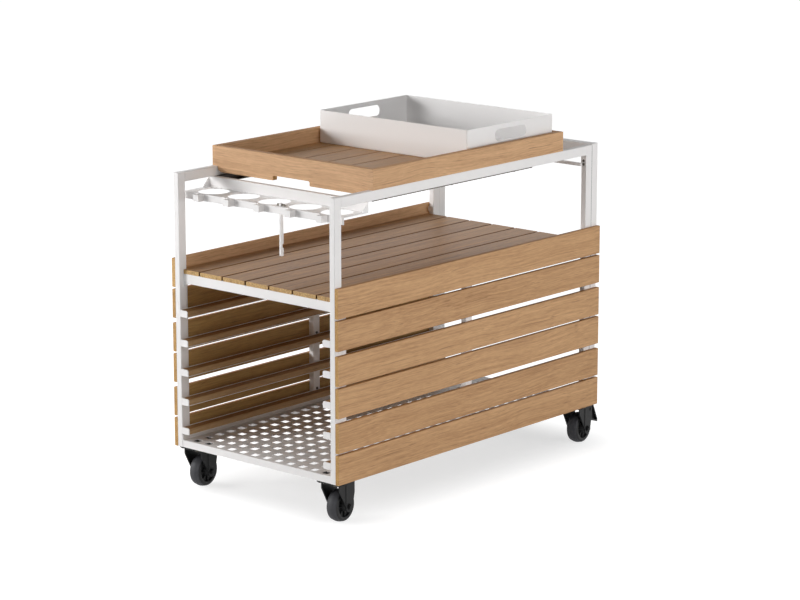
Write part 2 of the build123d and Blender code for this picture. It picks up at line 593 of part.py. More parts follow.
def brake_pedal():
    """Cast pedal on a pin behind the crown, pocketed on both sides of a middle web."""
    reach = wheel_r + PEDAL_CLEAR
    over_wheel = Pos(TRAIL, axle_z) * PolarLine((0, 0), reach, PEDAL_HEEL) @ 1
    start = pedal_pin_x - PEDAL_LEAD
    rise = math.sqrt(reach ** 2 - (start - TRAIL) ** 2)
    top = PEDAL_PIN_Z + PEDAL_RISE
    bend = FORK_REAR + PEDAL_FLAT
    tip = FORK_REAR + PEDAL_TIP
    outline = Polyline((start, axle_z + rise), (start, top), (bend, top),
                       (bend + PEDAL_BEVEL, top - PEDAL_BEVEL), (tip, axle_z + PEDAL_TIP_Z),
                       (tip, axle_z), over_wheel)
    face = make_face([outline, RadiusArc(over_wheel, (start, axle_z + rise), -reach)])
    side = Plane(origin=(0, PEDAL_W / 2, 0), x_dir=(1, 0, 0), z_dir=(0, -1, 0))
    shape = extrude(side * face, PEDAL_W)
    behind_crown = Pos(FORK_REAR + PEDAL_LEAD, axle_z) * Rectangle(
        PEDAL_TIP, CASTOR_H, align=(Align.MIN, Align.CENTER))
    pocket = offset(face, -PEDAL_SKIN) & behind_crown
    depth = (PEDAL_W - PEDAL_WEB) / 2
    far_side = Plane(origin=(0, depth - PEDAL_W / 2, 0), x_dir=(1, 0, 0), z_dir=(0, -1, 0))
    for plane in (side, far_side):
        shape -= extrude(plane * pocket, depth)
    shape -= cylinder_along((0, 1, 0), (pedal_pin_x, -PEDAL_W / 2, PEDAL_PIN_Z),
                            PEDAL_PIN_R + RUN_FIT, PEDAL_W)
    return shape


far_x = FULL_LENGTH - CASTOR_FAR_INSET
corners = (("near_front", CASTOR_INSET, CASTOR_INSET, False),
           ("near_back", CASTOR_INSET, FRAME_DEPTH - CASTOR_INSET, False),
           ("far_front", far_x, CASTOR_INSET, True),
           ("far_back", far_x, FRAME_DEPTH - CASTOR_INSET, True))
plate = castor_plate()
bolt = castor_bolt()
hub = castor_hub()
tyre = castor_tyre()
pedal = brake_pedal()
axle = cross_pin((TRAIL, axle_z), AXLE_R, AXLE_HEAD_R, AXLE_HEAD)
pedal_pin = cross_pin((pedal_pin_x, PEDAL_PIN_Z), PEDAL_PIN_R, PEDAL_PIN_HEAD_R, PEDAL_PIN_HEAD)
forks = {False: castor_fork(False), True: castor_fork(True)}
plates = []
bolts = []
pads = []
for corner_name, x, y, brake in corners:
    stand = Pos(x, y, 0)
    turned = stand * Rot(0, 0, CASTOR_TURN)
    plates.append(stand * plate)
    bolts += [stand * place * bolt for place in GridLocations(PLATE_BOLTS, PLATE_BOLTS, 2, 2)]
    pad_y = (TUBE_T + SHEET, y + PLATE / 2) if y < MID_Y else (y - PLATE / 2, BACK - SHEET)
    pad_x = (x - PLATE / 2 + SHELF_RETURN + SHEET, x + PLATE / 2)
    if x > MID_X:
        pad_x = (x - PLATE / 2, shelf_x[1] - SHEET - SHELF_RETURN - SHEET)
    pads.append(block(pad_x, pad_y, (0, SHELF_TOP - SHEET)))
    fork = [turned * forks[brake], turned * axle]
    if brake:
        fork.append(turned * pedal_pin)
        parts[f"brake_pedal_{corner_name}"] = [turned * pedal]
    parts[f"castor_fork_{corner_name}"] = fork
    parts[f"castor_hub_{corner_name}"] = [turned * hub]
    parts[f"castor_tyre_{corner_name}"] = [turned * tyre]
parts["castor_plates"] = plates
parts["castor_bolts"] = bolts
parts["castor_pads"] = pads

# Move everything so that the floor is z = 0 and the cart's middle is x = y = 0, and write it
whole = Compound([piece for pieces in parts.values() for piece in pieces]).bounding_box()
to_origin = Pos(-(whole.min.X + whole.max.X) / 2, -(whole.min.Y + whole.max.Y) / 2, CASTOR_H)
for name, pieces in parts.items():
    moved = [to_origin * piece for piece in pieces]
    shape = moved[0] if len(moved) == 1 else Compound(children=moved)
    export_step(shape, f"parts/{name}.step")
print(len(parts), "nodes, shift", to_origin.position)
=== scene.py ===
# %% [markdown]
# # An outdoor bar cart in a white studio
# The cart is a white tube frame on four castors, closed by wood slats, with a deck, a perforated
# shelf, tray runners, a bottle rack, a wood tray and a sheet-metal box. Its solids come from a
# CAD model, so this script keeps every one of them in place. It gives them the finishes that the
# real pieces have, and models the small moulded and turned parts that a plain solid leaves out.

# %% Load the solids
import math

import bmesh
import bpy
from mathutils import Matrix, Vector


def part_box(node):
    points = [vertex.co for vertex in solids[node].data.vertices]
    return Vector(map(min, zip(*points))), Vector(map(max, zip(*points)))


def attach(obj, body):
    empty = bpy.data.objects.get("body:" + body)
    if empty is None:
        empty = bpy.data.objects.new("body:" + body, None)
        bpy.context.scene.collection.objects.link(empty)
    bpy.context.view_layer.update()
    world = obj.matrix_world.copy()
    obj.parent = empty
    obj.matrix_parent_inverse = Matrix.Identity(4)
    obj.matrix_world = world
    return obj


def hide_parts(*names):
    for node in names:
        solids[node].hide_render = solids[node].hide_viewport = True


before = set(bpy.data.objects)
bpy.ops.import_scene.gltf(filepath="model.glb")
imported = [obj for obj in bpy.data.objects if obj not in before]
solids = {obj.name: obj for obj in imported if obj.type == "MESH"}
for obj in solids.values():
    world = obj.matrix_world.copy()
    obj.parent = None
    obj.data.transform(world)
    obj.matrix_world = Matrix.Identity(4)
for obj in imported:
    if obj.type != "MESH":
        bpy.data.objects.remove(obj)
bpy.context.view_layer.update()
bpy.ops.object.select_all(action="DESELECT")

# %% [markdown]
# ## The camera
# The photograph was taken from far away with a long lens, a little above the cart and in front
# of its open end. A long lens keeps parallel tubes nearly parallel, so its place and direction
# matter more than anything else for the likeness. The direction is given as a vector, and the
# camera is turned so that it looks along it with the top of the picture upwards.

# %% Camera
VIEW_FROM = Vector((-6.626, -5.749, 2.512))
VIEW_ALONG = Vector((0.7369, 0.6391, -0.2204))
LENS_MM = 128.6
SENSOR_MM = 36.0

bpy.ops.object.camera_add(location=VIEW_FROM)
camera = bpy.context.object
camera.name = "studio_camera"
camera.rotation_mode = "QUATERNION"
camera.rotation_quaternion = VIEW_ALONG.to_track_quat("-Z", "Y")
camera.data.lens = LENS_MM
camera.data.sensor_width = SENSOR_MM
bpy.context.scene.camera = camera
print("camera:", round(VIEW_FROM.length, 2), "m from the middle of the floor")

# %% [markdown]
# ## Colours and nodes
# Colours are written as they look on a screen, as hex values, and one function turns them into
# the linear numbers that a shader needs. A second small function adds a node, sets it up and
# links it, so that each material below reads as a short recipe. Two more start a finish with its
# plain values, and put it on solids of the cart.


# %% Helpers for materials
def paint(hex_code):
    """Linear colour with alpha of an sRGB hex code."""
    channels = [int(hex_code[i:i + 2], 16) / 255 for i in (1, 3, 5)]
    linear = [c / 12.92 if c <= 0.04045 else ((c + 0.055) / 1.055) ** 2.4 for c in channels]
    return (*linear, 1.0)


def add_node(tree, kind, sockets=None, **settings):
    """A node of a tree: settings are its properties, sockets its values or the outputs it takes."""
    made = tree.nodes.new(kind)
    for name, value in settings.items():
        setattr(made, name, value)
    for name, value in (sockets or {}).items():
        if isinstance(value, bpy.types.NodeSocket):
            tree.links.new(value, made.inputs[name])
        else:
            made.inputs[name].default_value = value
    return made


def new_finish(name, **surface):
    """A material with an empty recipe, and its shader with the given plain values."""
    material = bpy.data.materials.new(name)
    material.use_nodes = True
    shader = material.node_tree.nodes["Principled BSDF"]
    for socket, value in surface.items():
        shader.inputs[socket.replace("_", " ")].default_value = value
    return material, material.node_tree, shader


def give(material, *names):
    """Puts a finish on solids of the cart, given by the names of their nodes."""
    for name in names:
        solids[name].data.materials.clear()
        solids[name].data.materials.append(material)


# %% [markdown]
# ## The studio
# The background of a product photograph is pure white, and the floor keeps a soft grey shadow.
# The floor is a wide pale sheet. Only for what the camera sees directly, and for what it sees
# mirrored, its paint is greyer and it glows with added white. The glow is weaker in a patch below
# the cart: painted shade, which keeps the shadow there grey. A hand's width outside it the glow is
# stronger, and the sum passes white even where one lamp is hidden, so that no long shadows show,
# as in a retouched picture. The cart itself gets no more light from it than a real floor would
# send.

# %% Floor
FLOOR_SIZE = 60.0
FLOOR_PAINT = "#F0F0F0"         # as it lights the cart
FLOOR_SHOWN = "#A6A6A6"         # as it is seen, below the white that is added
# the glow is weaker below the cart than around it, which paints a grey shade in that patch
LIFT_UNDER = 0.62               # white added below the cart
LIFT_AROUND = 1.0               # white added around it
PAINTED_SHADE_HALF = (0.50, 0.20, 9.0)  # half length and depth of the fully shaded patch, in metres
PAINTED_SHADE_EDGE = 0.30               # width of its soft edge

floor_paint, tree, shader = new_finish("studio_floor_paint", Roughness=1.0,
                                       Specular_IOR_Level=0.0)
rays = add_node(tree, "ShaderNodeLightPath")
seen = add_node(tree, "ShaderNodeMath", {0: rays.outputs["Is Camera Ray"],
                                         1: rays.outputs["Is Glossy Ray"]}, operation="MAXIMUM")
shown = add_node(tree, "ShaderNodeMixRGB", {"Fac": seen.outputs[0], "Color1": paint(FLOOR_PAINT),
                                            "Color2": paint(FLOOR_SHOWN)})
tree.links.new(shown.outputs["Color"], shader.inputs["Base Color"])
glow = add_node(tree, "ShaderNodeEmission", {"Color": paint("#FFFFFF")})
spot = add_node(tree, "ShaderNodeTexCoord")
mirrored = add_node(tree, "ShaderNodeVectorMath", {0: spot.outputs["Object"]},
                    operation="ABSOLUTE")
past = add_node(tree, "ShaderNodeVectorMath", {0: mirrored.outputs[0], 1: PAINTED_SHADE_HALF},
                operation="SUBTRACT")
outside = add_node(tree, "ShaderNodeVectorMath", {0: past.outputs[0]}, operation="MAXIMUM")
away = add_node(tree, "ShaderNodeVectorMath", {0: outside.outputs[0]}, operation="LENGTH")
white = add_node(tree, "ShaderNodeMapRange", {"Value": away.outputs["Value"],
                                              "From Max": PAINTED_SHADE_EDGE, "To Min": LIFT_UNDER,
                                              "To Max": LIFT_AROUND},
                 interpolation_type="SMOOTHSTEP")
painted_shade_glow = add_node(tree, "ShaderNodeMath", {0: seen.outputs[0], 1: white.outputs[0]},
                operation="MULTIPLY")
tree.links.new(painted_shade_glow.outputs[0], glow.inputs["Strength"])
both = add_node(tree, "ShaderNodeAddShader", {0: shader.outputs[0], 1: glow.outputs[0]})
tree.links.new(both.outputs[0], tree.nodes["Material Output"].inputs["Surface"])
bpy.ops.mesh.primitive_plane_add(size=FLOOR_SIZE, location=(0, 0, 0))
floor = bpy.context.object
floor.name = "studio_floor"
floor.data.materials.append(floor_paint)
print("floor:", [round(side, 1) for side in floor.dimensions[:2]], "m")

# %% [markdown]
# ## The room
# The light is even and soft. The walls of the room are bright and its ceiling is dark, so that
# upright faces are brighter than the deck. The room is a world whose strength depends on how
# high a ray looks. What the camera sees directly, mirrored or through glass is plain white.

# %% Room
WALL_STRENGTH = 0.31
WALL_TOP = 0.30         # height in the sky, as a sine, where the walls start to darken
CEILING = 0.60          # and where the dark ceiling starts

room = bpy.data.worlds.new("white_room")
room.use_nodes = True
bpy.context.scene.world = room
tree = room.node_tree
sky = tree.nodes["Background"]
rays = add_node(tree, "ShaderNodeLightPath")
seen = rays.outputs["Is Camera Ray"]
for kind in ("Is Glossy Ray", "Is Transmission Ray"):
    seen = add_node(tree, "ShaderNodeMath", {0: seen, 1: rays.outputs[kind]},
                    operation="MAXIMUM").outputs[0]
way = add_node(tree, "ShaderNodeTexCoord")
height = add_node(tree, "ShaderNodeSeparateXYZ", {0: way.outputs["Generated"]})
wall = add_node(tree, "ShaderNodeMapRange", {"Value": height.outputs["Z"], "From Min": WALL_TOP,
                                             "From Max": CEILING, "To Min": WALL_STRENGTH,
                                             "To Max": 0.0}, interpolation_type="SMOOTHSTEP")
level = add_node(tree, "ShaderNodeMapRange", {"Value": seen, "To Min": wall.outputs["Result"],
                                              "To Max": 1.0})
sky.inputs["Color"].default_value = paint("#FFFFFF")
tree.links.new(level.outputs["Result"], sky.inputs["Strength"])
print("room:", room.name, "with", len(tree.nodes), "nodes")

# %% [markdown]
# ## The lamps
# Four wide lamps stand around the cart. The two behind it throw the slanting shadow into the
# corner of the box, and the left one of them lights the open end. The one in front lights the
# slats from their own height, so that walls which face the front from inside the tray stay dark.
# A weak one high in front opens those shadows a little.


# %% Lamps
def soft_lamp(name, place, aim, width, height, watts):
    """A rectangular lamp that faces a point."""
    bpy.ops.object.light_add(type="AREA", location=place)
    lamp = bpy.context.object
    lamp.name = lamp.data.name = name
    lamp.rotation_mode = "QUATERNION"
    lamp.rotation_quaternion = (Vector(aim) - Vector(place)).to_track_quat("-Z", "Y")
    lamp.data.shape = "RECTANGLE"
    lamp.data.size = width
    lamp.data.size_y = height
    lamp.data.energy = watts


soft_lamp("left_lamp", place=(-4.2, 3.2, 1.7), aim=(0, 0, 0.8), width=2.2, height=1.4, watts=140)
soft_lamp("back_lamp", place=(-1.2, 4.8, 2.9), aim=(0, 0, 0.6), width=2.6, height=1.6, watts=135)
soft_lamp("front_lamp", place=(0.8, -5.0, 0.85), aim=(0, 0, 0.6), width=5.0, height=0.9, watts=88)
soft_lamp("top_lamp", place=(-0.6, -3.8, 3.2), aim=(0, 0, 0.6), width=2.6, height=1.8, watts=36)
print("lamps:", {lamp.name: lamp.energy for lamp in bpy.data.lights})

# %% [markdown]
# ## White powder coat
# The frame, the shelf, the rack, the runner caps, the opener and the box are steel with a powder
# coat: paint that is sprayed on as dust and baked. It is a soft white with a satin sheen, and
# close up it has a faint orange-peel of bumps about a millimetre across. The real bumps are too
# fine to see in the picture, so they are drawn at 3 mm and very shallow.

# %% Powder coat
PEEL_MM = 3.0
PEEL_DEPTH = 0.0003

COATED = ("near_posts", "mid_posts", "far_posts", "top_rails", "deck_rails", "base_rails",
          "portal_posts", "portal_beam", "deck_crossbars", "crossbar_gussets", "end_strips",
          "bottom_shelf", "runner_caps_front", "runner_caps_back", "bottle_rack", "opener",
          "towel_bar", "towel_bar_clips", "portal_bushes", "drinks_box")

powder_coat, tree, shader = new_finish("powder_coated_steel", Roughness=0.42,
                                       Base_Color=paint("#F6F4F3"))
where = add_node(tree, "ShaderNodeTexCoord")
peel = add_node(tree, "ShaderNodeTexNoise", {"Vector": where.outputs["Object"],
                                             "Scale": 1000 / PEEL_MM, "Detail": 2.0})
bump = add_node(tree, "ShaderNodeBump", {"Height": peel.outputs["Fac"], "Strength": 0.08,
                                         "Distance": PEEL_DEPTH})
tree.links.new(bump.outputs["Normal"], shader.inputs["Normal"])
give(powder_coat, *COATED)
print("powder coat on", len(COATED), "nodes")

# %% [markdown]
# ## The patterns in wood
# The slats, the deck and the tray are planed boards of a light hardwood with an oil finish. Wood
# has several sizes of pattern: broad bands where the rings run along the board, streaks of dark
# and light grain, fine fibres between them, and a few thin dark lines. Each is a noise that is
# stretched along the board and squeezed across it. The tree never grew quite straight, so the
# patterns are first pushed sideways by a slow wave, which lets them wander. No two boards are cut
# from the same place, so each board gets its own shade and its own piece of the pattern, by its
# number, which is counted from where it lies in the row.

# %% Patterns in wood
BAND_MM = (700.0, 20.0)     # length and width of each pattern
STREAK_MM = (380.0, 5.0)
FIBRE_MM = (28.0, 2.6)
LINE_MM = (240.0, 3.0)
WANDER_MM = (330.0, 8.0)    # length of the slow wave, and how far it pushes the grain
NOISE_SWING = 0.25          # a noise mostly stays this near to one half
CUT_APART = 7.0             # the boards' pieces of the pattern start within so many metres


def board_cuts(tree, across, pitch_mm, start_mm):
    """For each board of a row, a shade of its own and its own piece of the pattern."""
    where = add_node(tree, "ShaderNodeTexCoord")
    split = add_node(tree, "ShaderNodeSeparateXYZ", {0: where.outputs["Object"]})
    steps = add_node(tree, "ShaderNodeMath", {0: split.outputs[across], 1: -start_mm / 1000},
                     operation="ADD")
    count = add_node(tree, "ShaderNodeMath", {0: steps.outputs[0], 1: 1000 / pitch_mm},
                     operation="MULTIPLY")
    number = add_node(tree, "ShaderNodeMath", {0: count.outputs[0]}, operation="FLOOR")
    own = add_node(tree, "ShaderNodeTexWhiteNoise", {"W": number.outputs[0]},
                   noise_dimensions="1D")
    cut = add_node(tree, "ShaderNodeVectorMath", {0: own.outputs["Color"], 1: [CUT_APART] * 3},
                   operation="MULTIPLY")
    place = add_node(tree, "ShaderNodeVectorMath", {0: where.outputs["Object"],
                                                    1: cut.outputs[0]}, operation="ADD")
    return own.outputs["Value"], place.outputs[0]


def grain_patterns(tree, place, along):
    """Bands, streaks, fibres and lines, as noises that are stretched along the boards."""
    wave = add_node(tree, "ShaderNodeTexNoise", {"Vector": place, "Detail": 1.0,
                                                 "Scale": 1000 / WANDER_MM[0]})
    push = add_node(tree, "ShaderNodeVectorMath", {
        0: wave.outputs["Color"], 1: [WANDER_MM[1] / 1000 / NOISE_SWING] * 3},
        operation="MULTIPLY")
    grown = add_node(tree, "ShaderNodeVectorMath", {0: place, 1: push.outputs[0]},
                     operation="ADD")
    patterns = []
    for length, width in (BAND_MM, STREAK_MM, FIBRE_MM, LINE_MM):
        scale = [1000 / width] * 3
        scale["XYZ".index(along)] = 1000 / length
        stretched = add_node(tree, "ShaderNodeMapping", {"Vector": grown.outputs[0],
                                                         "Scale": scale})
        patterns.append(add_node(tree, "ShaderNodeTexNoise", {
            "Vector": stretched.outputs[0], "Scale": 1.0, "Detail": 2.0}).outputs["Fac"])
    return patterns


# %% [markdown]
# ## Tints on the faces of boards
# A sawn end shows the grain head on, and it is yellower than the faces along the board. Faces
# that look up get a grey tint, which is partly wear from rain and partly painted sheen and painted
# shade, for the pale gloss and the weaker light that tops have. The boards of the deck and of the
# tray's floor get it on all their faces but the ends. The sides of the deck boards, which face each
# other across the gaps, are painted darker: painted shade in the gaps. The inner faces of the back
# boards are painted a more olive yellow: painted shade, the hue that wood takes in the shade inside
# the cart. Each kind of face is known by the direction that it looks to, so a tint is laid over it
# by its normal.

# %% Tints on faces
END_GRAIN = "#F7F6D2"
# grey tint on tops: partly wear, partly painted sheen and painted shade
WEAR_AND_PAINTED_SHEEN = "#DCCAAC"
BARE = "#FFFFFF"            # a tint that changes nothing
SQUARE_ON = (0.6, 0.9)      # part of a face's normal where a tint starts, and where it is full
# the tint of wear and painted sheen on every side of a board
ALL_ROUND = (-3.0, -2.0)    # the same for wear on every side of a board


def face_tints(tree, along, across, wear_and_painted_sheen, gap_painted_shade, inside):
    """One tint over the wood: wear with painted sheen on tops, painted shade on sides and inner
    faces, and yellow sawn ends.
    """
    facing = add_node(tree, "ShaderNodeSeparateXYZ",
                      {0: add_node(tree, "ShaderNodeNewGeometry").outputs["Normal"]})
    both_ends = add_node(tree, "ShaderNodeMath", {0: facing.outputs[along]}, operation="ABSOLUTE")
    both_sides = add_node(tree, "ShaderNodeMath", {0: facing.outputs[across]},
                          operation="ABSOLUTE")
    starts, full = SQUARE_ON
    faces = paint(BARE)
    for look, limits, tint in ((facing.outputs["Z"], wear_and_painted_sheen, WEAR_AND_PAINTED_SHEEN),
                               (both_sides.outputs[0], (starts, full), gap_painted_shade),
                               (facing.outputs["Y"], (-starts, -full), inside)):
        share = add_node(tree, "ShaderNodeMapRange", {"Value": look, "From Min": limits[0],
                                                      "From Max": limits[1]})
        faces = add_node(tree, "ShaderNodeMixRGB", {
            "Fac": share.outputs[0], "Color1": faces, "Color2": paint(tint)},
            blend_type="MULTIPLY").outputs["Color"]
    on_end = add_node(tree, "ShaderNodeMapRange", {"Value": both_ends.outputs[0],
                                                   "From Min": starts, "From Max": full})
    over = add_node(tree, "ShaderNodeMixRGB", {"Fac": on_end.outputs[0], "Color1": faces,
                                               "Color2": paint(END_GRAIN)})
    return over.outputs["Color"]


# %% [markdown]
# ## Oiled wood
# The recipe adds up the patterns, and the sum mixes a light and a dark colour. Thin dark lines
# are drawn over that only where their noise is high, and all of it is multiplied by the tint of
# the face. Oil dries rougher on the light streaks than on the dark ones, and the same streaks
# raise the surface a little, so both follow one pattern.

# %% Recipe for oiled wood
PATTERN_SHARE = (0.6, 1.0, 0.7)     # bands, streaks and fibres in the shade of the wood
OWN_SHARE = 0.3             # the shade that each board has for itself
PLAIN_ENDS = 0.3            # so much at each end of the sum is all dark or all light
LINE_LIMITS = (0.62, 0.74)  # height of the noise where a line starts, and where it is full
LINE_DEPTH = 0.6            # how far a full line covers the wood
OIL_ROUGHNESS = (0.48, 0.66)
STREAK_RELIEF = 0.0004


def oiled_wood(name, colours, along, across, pitch_mm, start_mm, wear_and_painted_sheen=SQUARE_ON, smoother=0.0,
               gap_painted_shade=BARE, inside=BARE):
    """Planed, oiled boards that run along one axis and lie side by side on another."""
    light, dark, line = (paint(colour) for colour in colours)
    material, tree, shader = new_finish(name, Specular_IOR_Level=0.35)
    own, place = board_cuts(tree, across, pitch_mm, start_mm)
    patterns = grain_patterns(tree, place, along)
    total = add_node(tree, "ShaderNodeMath", {0: own, 1: OWN_SHARE},
                     operation="MULTIPLY").outputs[0]
    for pattern, share in zip(patterns, PATTERN_SHARE):
        clear = add_node(tree, "ShaderNodeMapRange", {
            "Value": pattern, "From Min": 0.5 - NOISE_SWING, "From Max": 0.5 + NOISE_SWING,
            "To Max": share})
        total = add_node(tree, "ShaderNodeMath", {0: total, 1: clear.outputs[0]},
                         operation="ADD").outputs[0]
    tone = add_node(tree, "ShaderNodeMapRange", {
        "Value": total, "From Min": PLAIN_ENDS,
        "From Max": sum(PATTERN_SHARE) + OWN_SHARE - PLAIN_ENDS})
    board = add_node(tree, "ShaderNodeMixRGB", {"Fac": tone.outputs[0], "Color1": dark,
                                                "Color2": light})
    thin = add_node(tree, "ShaderNodeMapRange", {
        "Value": patterns[3], "From Min": LINE_LIMITS[0], "From Max": LINE_LIMITS[1],
        "To Max": LINE_DEPTH})
    lined = add_node(tree, "ShaderNodeMixRGB", {"Fac": thin.outputs[0], "Color2": line,
                                                "Color1": board.outputs["Color"]})
    tint = face_tints(tree, along, across, wear_and_painted_sheen, gap_painted_shade, inside)
    colour = add_node(tree, "ShaderNodeMixRGB", {"Fac": 1.0, "Color1": lined.outputs["Color"],
                                                 "Color2": tint}, blend_type="MULTIPLY")
    tree.links.new(colour.outputs["Color"], shader.inputs["Base Color"])
    rough = add_node(tree, "ShaderNodeMapRange", {"Value": patterns[1],
                                                  "To Min": OIL_ROUGHNESS[0] - smoother,
                                                  "To Max": OIL_ROUGHNESS[1] - smoother})
    tree.links.new(rough.outputs[0], shader.inputs["Roughness"])
    bump = add_node(tree, "ShaderNodeBump", {"Height": patterns[1], "Strength": 0.25,
                                             "Distance": STREAK_RELIEF})
    tree.links.new(bump.outputs["Normal"], shader.inputs["Normal"])
    return material


# %% [markdown]
# ## Wood on the cart
# The slats all run along the cart and are stacked upwards, the deck boards lie side by side, and
# the end walls of the tray run across. So the same recipe is made again for each, turned the way
# its boards run. The slats come first. A slat and the gap above it take about 101 mm. The top
# board at the back gets the lighter colours of the tray: painted light, for the light that its
# inner face catches above the deck.

# %% Slats
SLAT_COLOURS = ("#DEB283", "#A4784E", "#7F5838")    # light and dark grain, and lines
TRAY_COLOURS = ("#ECC194", "#B68A61", "#7F5838")
DECK_COLOURS = ("#EFC79B", "#8E6844", "#7F5838")
SLAT_PITCH = 101.0
SLAT_ROWS = range(1, 7)
BELOW_FIRST = 8.0           # the count of the slats starts this far below the lowest one
# painted shade: the olive yellow that wood takes in shade, on the inner faces of the back boards
INNER_SHADE_YELLOW = "#F4FADA"

slats_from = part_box("front_slat_1")[0].z * 1000 - BELOW_FIRST
slat_wood = oiled_wood("oiled_slat_wood", SLAT_COLOURS, "X", "Z", SLAT_PITCH, slats_from)
back_wood = oiled_wood("oiled_back_wood_inner_shade", SLAT_COLOURS, "X", "Z", SLAT_PITCH, slats_from,
                       inside=INNER_SHADE_YELLOW)
# painted light: the top back board in lighter colours, for the light on its inner face above the
# deck
top_back_wood_painted_light = oiled_wood("oiled_top_back_wood_painted_light", TRAY_COLOURS, "X", "Z", SLAT_PITCH, slats_from)
give(slat_wood, *[f"front_slat_{row}" for row in SLAT_ROWS])
give(back_wood, *[f"back_slat_{row}" for row in SLAT_ROWS])
give(top_back_wood_painted_light, "back_slat_6")
print("slats:", 2 * len(SLAT_ROWS), "counted from", round(slats_from, 1), "mm")

# %% [markdown]
# The deck has more contrast than the slats and a slight shine, because it is rubbed and wiped. A
# deck board and its gap take 96 mm. The tray's walls are a little lighter than the slats, and its
# floor has the wood of the deck.

# %% Deck and tray
DECK_PITCH = 96.0
DECK_SMOOTHER = 0.14
# the sides of the deck boards are painted darker: painted shade in the gaps between them
GAP_PAINTED_SHADE = "#A09280"
TRAY_WALL_PITCH = 200.0     # coarse steps, so that opposite walls differ

deck_wood = oiled_wood("oiled_deck_wood", DECK_COLOURS, "X", "Y", DECK_PITCH, -DECK_PITCH / 2,
                       ALL_ROUND, DECK_SMOOTHER, gap_painted_shade=GAP_PAINTED_SHADE)
long_wood = oiled_wood("oiled_tray_wood", TRAY_COLOURS, "X", "Y", TRAY_WALL_PITCH, 0.0)
cross_wood = oiled_wood("oiled_cross_wood", TRAY_COLOURS, "Y", "X", TRAY_WALL_PITCH, 0.0)
give(deck_wood, "deck_boards", "tray_floor_boards")
give(long_wood, "tray_long_walls")
give(cross_wood, "tray_end_walls", "tray_battens")
print("deck wood:", len(deck_wood.node_tree.nodes), "nodes")

# %% [markdown]
# ## Stained runners
# The five pairs of runners inside the cart are stained browner than the slats. They are boards
# too, so they get the same recipe in their own colours.

# %% Runner wood
RUNNER_COLOURS = ("#CBA77A", "#9E7C55", "#6A5236")

runner_wood = oiled_wood("stained_runner_wood", RUNNER_COLOURS, "X", "Z", SLAT_PITCH, 0.0)
give(runner_wood, "runners_front", "runners_back")
print("runners in", runner_wood.name)

# %% [markdown]
# ## Castors and fixings
# The forks and plates are pressed steel with a matt black paint, the wheels are a black moulded
# plastic with a rubber tyre, and the screws are a dark blackened steel. None of them is quite
# even, so one recipe mixes two close colours, two degrees of shine and a low relief over the same
# fine noise, and each finish has its own colours and size of grit.

# %% Castor finishes
SHEEN_SWING = 0.06          # how far the roughness strays to either side


def speckled(name, base, spot, roughness, metallic, grit_mm, depth_mm, shine=0.5):
    """A plain finish whose colour and sheen vary a little over grit of a given size."""
    material, tree, shader = new_finish(name, Metallic=metallic, Specular_IOR_Level=shine)
    where = add_node(tree, "ShaderNodeTexCoord")
    grit = add_node(tree, "ShaderNodeTexNoise", {"Vector": where.outputs["Object"],
                                                 "Scale": 1000 / grit_mm, "Detail": 3.0})
    colour = add_node(tree, "ShaderNodeMixRGB", {"Fac": grit.outputs["Fac"],
                                                 "Color1": paint(base), "Color2": paint(spot)})
    tree.links.new(colour.outputs["Color"], shader.inputs["Base Color"])
    sheen = add_node(tree, "ShaderNodeMapRange", {"Value": grit.outputs["Fac"],
                                                  "To Min": roughness - SHEEN_SWING,
                                                  "To Max": roughness + SHEEN_SWING})
    tree.links.new(sheen.outputs[0], shader.inputs["Roughness"])
    bump = add_node(tree, "ShaderNodeBump", {"Height": grit.outputs["Fac"], "Strength": 0.2,
                                             "Distance": depth_mm / 1000})
    tree.links.new(bump.outputs["Normal"], shader.inputs["Normal"])
    return material


black_paint = speckled("black_painted_steel", "#101011", "#1A1A1B", 0.45, 0.0, 2.5, 0.1, 0.2)
black_plastic = speckled("moulded_black_nylon", "#161617", "#202021", 0.5, 0.0, 1.5, 0.08, 0.3)
tread_rubber = speckled("rubbed_rubber", "#37373A", "#454549", 0.62, 0.0, 1.8, 0.15, 0.3)
wall_rubber = speckled("black_rubber", "#141415", "#1E1E1F", 0.55, 0.0, 1.8, 0.1, 0.3)
dark_steel = speckled("blackened_steel", "#4C4843", "#6A655E", 0.35, 1.0, 1.2, 0.05)
# a pale finish for the painted highlights along the runners' edges
edge_highlight_trim = speckled("painted_edge_highlight", "#EEEAE3", "#F6F3EE", 0.4, 0.0, 1.2, 0.05)
corners = ("near_front", "near_back", "far_front", "far_back")
give(black_paint, "castor_plates", *[f"castor_fork_{corner}" for corner in corners])
give(black_plastic, "castor_pads", "brake_pedal_far_front", "brake_pedal_far_back",
     *[f"castor_hub_{corner}" for corner in corners])
give(tread_rubber, *[f"castor_tyre_{corner}" for corner in corners])
give(dark_steel, "castor_bolts", "opener_pin", "glide_bars", "frame_screws")
print("nodes without a finish:", [name for name, node in solids.items() if not node.data.materials])

# %% [markdown]
# ## Modelling by hand
# The small pieces below start as a primitive and are shaped in edit mode, the way they would be
# with the mouse. Short functions do what recurs. The first ones add a primitive and open it,
# select faces or edges by where they lie, and close the piece again with its normals outward.


# %% Helpers for shaping
TINY = 1e-6             # two lengths that differ by less are the same
FLAT = 0.9              # a face whose normal reaches this along an axis looks along it


def start(name, add_primitive, **how):
    """Adds a primitive and opens it in edit mode with nothing selected."""
    bpy.ops.object.select_all(action="DESELECT")
    add_primitive(**how)
    piece = bpy.context.object
    piece.name = name
    bpy.ops.object.mode_set(mode="EDIT")
    bpy.ops.mesh.select_all(action="DESELECT")
    return piece


